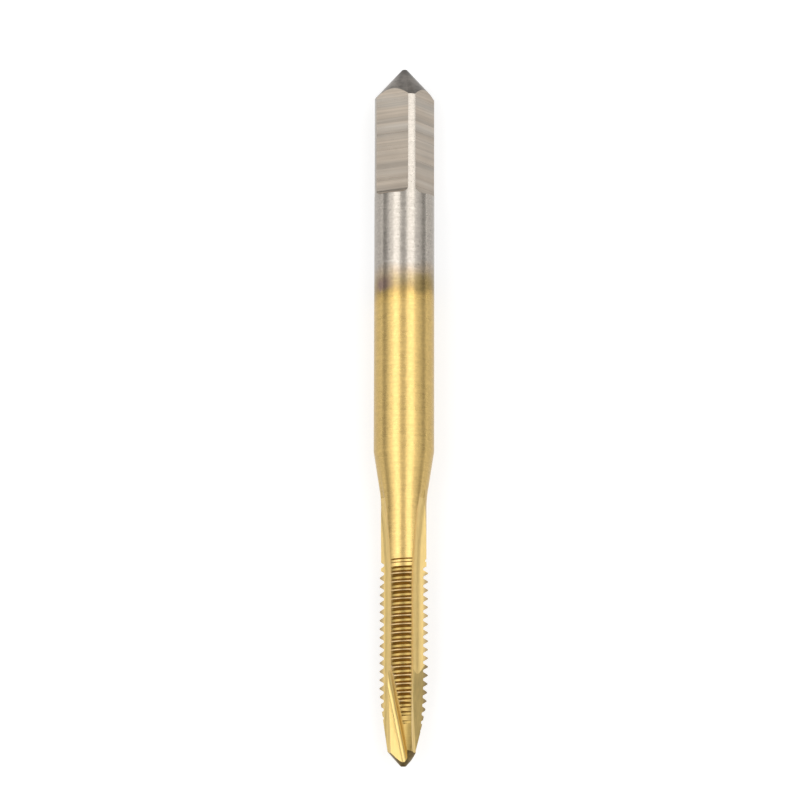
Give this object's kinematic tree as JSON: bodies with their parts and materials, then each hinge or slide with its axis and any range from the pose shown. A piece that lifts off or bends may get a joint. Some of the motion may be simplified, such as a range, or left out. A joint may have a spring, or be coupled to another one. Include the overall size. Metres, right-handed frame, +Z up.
{
  "type": "spiral point machine tap",
  "caption": "Spiral point machine tap for metric threads: straight-fluted threaded end with an angled point, reduced neck, round shank and driving square, gold-coated cutting end.",
  "frame": {"origin": "on the tap's axis, at the middle of the round part of the shank", "axes": "+Y along the axis towards the driving square, +Z up from the surface that the tap lies on, +X to the right when it is seen from above with the square at the top"},
  "size_m": [0.005, 0.0584, 0.005],
  "materials": {
    "coated_steel": "ground tool steel with a gold nitride coating from the tip to the middle of the shank, bare ground steel above it"
  },
  "bodies": {
    "root": {"tap": "coated_steel"}
  },
  "joints": []
}
